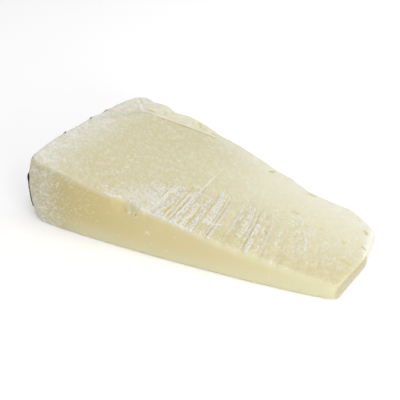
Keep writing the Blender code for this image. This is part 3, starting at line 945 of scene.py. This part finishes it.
def make_lamp(name, power, place, width):
    """A square lamp that shines at the wedge and isn't seen itself."""
    light = bpy.data.lights.new(name, "AREA")
    light.energy, light.size = power, width
    lamp = add_object(name, light)
    lamp.location = place
    turn_back(lamp, Vector(place))
    lamp.visible_camera = False


def make_camera(scene, stage):
    """The camera, turned round the wedge and lifted as the stage says."""
    turn, lift = stage.azimuth, stage.elevation
    back = Vector((math.sin(turn) * math.cos(lift), -math.cos(turn) * math.cos(lift), math.sin(lift)))
    aim = Vector((AIM[0] * (HIGH.x - LOW.x), AIM[1] * (HIGH.y - LOW.y), 0.0))
    camera = add_object("camera", bpy.data.cameras.new("camera"))
    camera.data.lens, camera.data.sensor_width = stage.lens, FILM_WIDTH
    camera.location = aim + back * stage.distance
    turn_back(camera, back)
    scene.camera = camera


# ---- Operators ----

def longest_at(place):
    """Longest edge wanted at a place: short where the knife marks, seams and pits are."""
    paste = bpy.context.scene.cheese_paste
    p = (place - CORNER) * MM
    if p.y < 8 and any(math.hypot(p.x - x, p.z - z) < 1.8 for x, z in WALL_PITS):
        return paste.cell
    under_top = 0.82 * HIGH.z * (1 - 0.85 * p.x / LENGTH) * (1 - 0.06 * p.y / WIDTH)
    if place.z < under_top:
        return paste.coarse_cell
    marked = 37 < p.x < 120 and p.y < 43
    pitted = any(abs(p.x - slit[0]) < 2 and abs(p.y - slit[1]) < 2 for slit in SLITS)
    seamed = p.x < 56 and p.y > 50 and any(line_distance(p, line) < 1.4 for line in (RIDGE, SEAM, STEP))
    return paste.cell if marked or pitted or seamed else paste.coarse_cell


class CHEESE_OT_body(bpy.types.Operator):
    """Makes the body of the wedge, with its cut faces, knife marks and torn edges"""

    bl_idname = "cheese.body"
    bl_label = "Cheese body"

    def execute(self, context):
        mesh = solid_copy()
        refine(mesh, longest_at)
        soften(mesh)
        finish_surface(mesh)
        body = add_piece("cheese_body", mesh, paste_material())
        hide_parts(NODE)
        return {"FINISHED"}


def pinched(mesh):
    """Faces round a point where two flakes touch at that point alone."""
    points = {vertex for vertex in mesh.verts
              if sum(edge.is_boundary for edge in vertex.link_edges) > 2}
    return [face for face in mesh.faces if not points.isdisjoint(face.verts)]


def flaked(p, wear):
    """Whether the coating has come off at a place: along its border, and in a few spots."""
    at_corner = p.y + 0.4 - 7 * (1 - window(5.5, 24, 1.5, p.z))
    left = max(share * hump(y, half_width, p.y) for y, half_width, share in LEFT_ON_EDGE)
    below_edge = 32 - 0.07 * p.y - p.z + 3 * left
    border = min(p.z - 3, below_edge, at_corner, 80 - p.y)
    patchy = grain(p.x / 4, p.y / 4, p.z / 4) + 0.5 * grain(p.x / 1.3, p.y / 1.3, p.z / 1.3)
    return border < 1.6 * wear * (patchy + 0.35) or patchy > 1.5 - 0.9 * wear


class CHEESE_OT_coating(bpy.types.Operator):
    """Makes the thin dark coating on the rind, flaked along its border"""

    bl_idname = "cheese.coating"
    bl_label = "Rind coating"

    def execute(self, context):
        coat = context.scene.cheese_coat
        mesh = bmesh.new()
        mesh.from_mesh(bpy.data.objects["cheese_body"].data)
        gone = []
        for face in mesh.faces:
            p = (face.calc_center_median() - CORNER) * MM
            round_the_corner = window(20.5, 24, 0.8, p.z)
            on_rind = face.normal.x < 0.38 * round_the_corner - 0.8 and p.x < RIND_END
            if not on_rind or flaked(p, coat.wear):
                gone.append(face)
        while gone:
            bmesh.ops.delete(mesh, geom=gone, context="FACES")
            gone = pinched(mesh)
        mesh.normal_update()
        for vertex in mesh.verts:
            p = (vertex.co - CORNER) * MM
            blister = hump(22.5, 3.5, p.z) * (1 - rise(0.5, 4, p.y))
            vertex.co += vertex.normal * (0.06 + 0.35 * blister) / MM
        bmesh.ops.solidify(mesh, geom=mesh.faces[:], thickness=-coat.thickness)
        bmesh.ops.recalc_face_normals(mesh, faces=mesh.faces)
        add_piece("rind_coating", mesh, coating_material())
        return {"FINISHED"}


def add_crumb(mesh, spot, normal, size, draw):
    """One lumpy crumb, sunk into the surface by a good part of its height."""
    made = bmesh.ops.create_icosphere(mesh, subdivisions=2, radius=size / 2)["verts"]
    stretch = Vector((draw.uniform(0.9, 1.6), draw.uniform(0.6, 1), draw.uniform(0.35, 0.6)))
    turn = Matrix.Rotation(draw.uniform(0, math.tau), 3, "Z")
    tilt = normal.to_track_quat("Z", "Y").to_matrix()
    seed = draw.uniform(0, 90)
    for vertex in made:
        lump = 1 + 0.45 * noise.noise(vertex.co * (2.4 / size) + Vector((seed, 0, 0)))
        shaped = Vector(c * s * lump for c, s in zip(vertex.co, stretch))
        vertex.co = spot - normal * (size * 0.12) + tilt @ turn @ shaped


class CHEESE_OT_crumbs(bpy.types.Operator):
    """Scatters loose crumbs along the torn front edge and over the scuffed patch"""

    bl_idname = "cheese.crumbs"
    bl_label = "Loose crumbs"

    def execute(self, context):
        crumbs = context.scene.cheese_crumbs
        body = bmesh.new()
        body.from_mesh(bpy.data.objects["cheese_body"].data)
        tree, rim = BVHTree.FromBMesh(body), Rim(body)
        body.free()
        draw = random.Random(7)
        mesh = bmesh.new()
        placed = 0
        while placed < crumbs.count:
            p = Vector((draw.uniform(34, 110), draw.uniform(1, 44), 0))
            from_front = rim.margins(p)[0]
            chance = max(0.9 * lip(p, from_front), 0.12 * scuff(p, from_front), 0.08 * band_white(p)[0])
            if draw.random() > chance:
                continue
            above = CORNER + p / MM + Vector((0, 0, 0.1))
            spot, normal, _, _ = tree.ray_cast(above, Vector((0, 0, -1)))
            if spot is None or normal.z < 0.5:
                continue
            add_crumb(mesh, spot, normal, crumbs.size * draw.uniform(0.3, 1) ** 1.5, draw)
            placed += 1
        add_piece("loose_crumbs", mesh, crumb_material())
        return {"FINISHED"}


class CHEESE_OT_stage(bpy.types.Operator):
    """Makes the floor, the soft lights and the camera"""

    bl_idname = "cheese.stage"
    bl_label = "Studio stage"

    def execute(self, context):
        stage = context.scene.cheese_stage
        make_floor(stage)
        make_sky(context.scene, stage)
        for name, (place, width) in LAMPS.items():
            make_lamp(name, getattr(stage, name), place, width)
        make_camera(context.scene, stage)
        context.scene.view_settings.view_transform = "Standard"
        return {"FINISHED"}


class CHEESE_PT_panel(bpy.types.Panel):
    """Lists the settings and the pieces in the sidebar"""

    bl_idname = "CHEESE_PT_panel"
    bl_label = "Cheese wedge"
    bl_space_type = "VIEW_3D"
    bl_region_type = "UI"
    bl_category = "Cheese"

    def draw(self, context):
        for name, operator in zip(GROUPS, OPERATORS):
            box, group = self.layout.box(), getattr(context.scene, name)
            for setting in group.__annotations__:
                box.prop(group, setting)
            box.operator(operator.bl_idname)


GROUPS = {"cheese_paste": PasteSettings, "cheese_coat": CoatSettings,
          "cheese_crumbs": CrumbSettings, "cheese_stage": StageSettings}
OPERATORS = (CHEESE_OT_body, CHEESE_OT_coating, CHEESE_OT_crumbs, CHEESE_OT_stage)


def register():
    """Registers the classes, and gives each scene its settings."""
    for name, group in GROUPS.items():
        bpy.utils.register_class(group)
        setattr(bpy.types.Scene, name, PointerProperty(type=group))
    for operator in (*OPERATORS, CHEESE_PT_panel):
        bpy.utils.register_class(operator)


def unregister():
    """Takes away what register adds."""
    for operator in (CHEESE_PT_panel, *reversed(OPERATORS)):
        bpy.utils.unregister_class(operator)
    for name, group in reversed(GROUPS.items()):
        delattr(bpy.types.Scene, name)
        bpy.utils.unregister_class(group)


def main():
    """Makes every piece and the stage."""
    register()
    bpy.ops.cheese.body()
    bpy.ops.cheese.coating()
    bpy.ops.cheese.crumbs()
    bpy.ops.cheese.stage()


if __name__ == "__main__":
    main()
